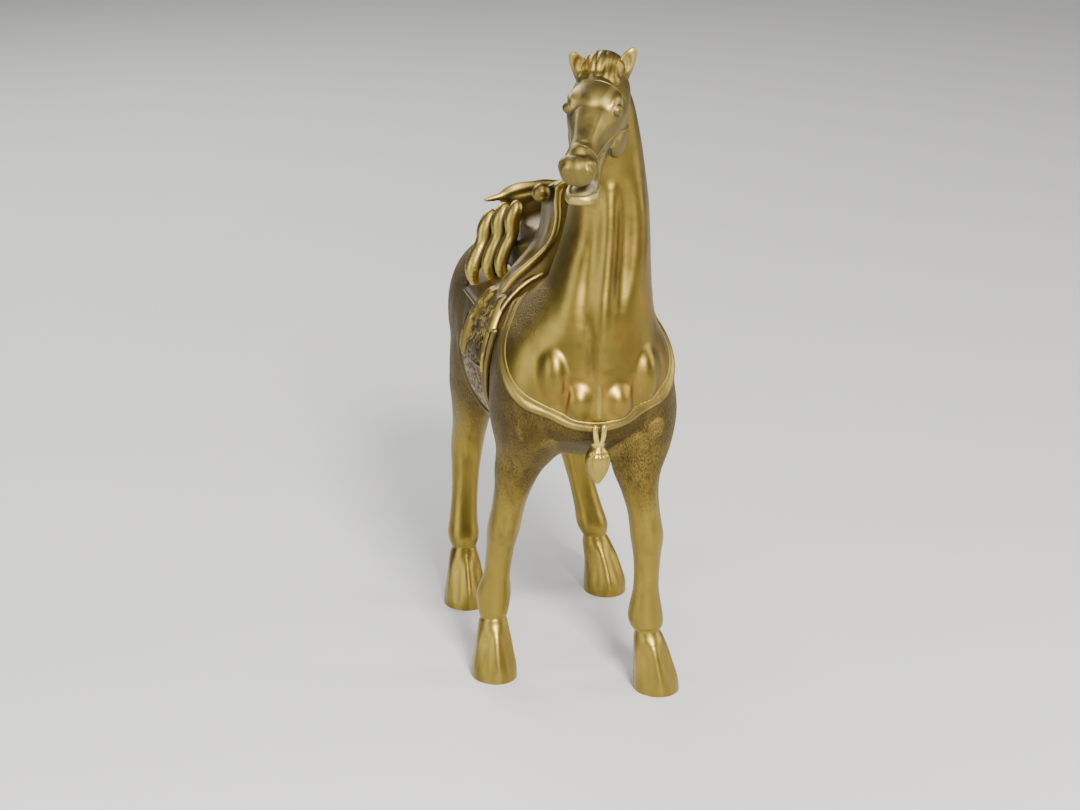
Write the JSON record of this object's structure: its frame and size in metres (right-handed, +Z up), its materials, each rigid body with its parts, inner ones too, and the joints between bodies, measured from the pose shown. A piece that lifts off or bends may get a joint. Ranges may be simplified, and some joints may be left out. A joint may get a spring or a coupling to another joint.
{
  "type": "bronze horse statue",
  "caption": "Small bronze statue of a saddled horse standing on four legs with its head turned to its right, built from joined castings.",
  "frame": {"origin": "middle of the statue's box at the height of the hoof soles", "axes": "+Z up, the horse faces -Y, its left side is +X"},
  "size_m": [0.0641, 0.1523, 0.2],
  "materials": {
    "body_bronze": "brown-gold patinated bronze, chased fur marks, worn bright on the swellings",
    "leg_bronze": "golden bronze rubbed bright on the lower legs and hooves",
    "saddle_bronze": "dark bronze, chiselled and dusty in the recesses",
    "trim_bronze": "bright worn bronze on rims, straps and pleats",
    "pin_bronze": "plain bronze rod"
  },
  "bodies": {
    "root": {"torso": "body_bronze", "neck": "body_bronze", "head": "body_bronze", "ear_left": "body_bronze", "ear_right": "body_bronze", "forelock": "body_bronze", "mane": "body_bronze", "tail": "body_bronze", "leg_front_left": "leg_bronze", "leg_front_right": "leg_bronze", "leg_hind_left": "leg_bronze", "leg_hind_right": "leg_bronze", "saddle_cloth": "saddle_bronze", "mud_flap_left": "saddle_bronze", "mud_flap_right": "saddle_bronze", "saddle_flap_left": "saddle_bronze", "saddle_flap_right": "saddle_bronze", "saddle_seat": "saddle_bronze", "pommel": "trim_bronze", "cantle": "trim_bronze", "pleats_left": "trim_bronze", "pleats_right": "trim_bronze", "breast_collar": "trim_bronze", "tassel": "trim_bronze", "browband": "trim_bronze", "noseband": "trim_bronze", "cheek_strap_left": "trim_bronze", "cheek_strap_right": "trim_bronze", "leg_pins": "pin_bronze", "neck_pins": "pin_bronze", "head_dowel": "pin_bronze", "saddle_pins": "pin_bronze"}
  },
  "joints": []
}
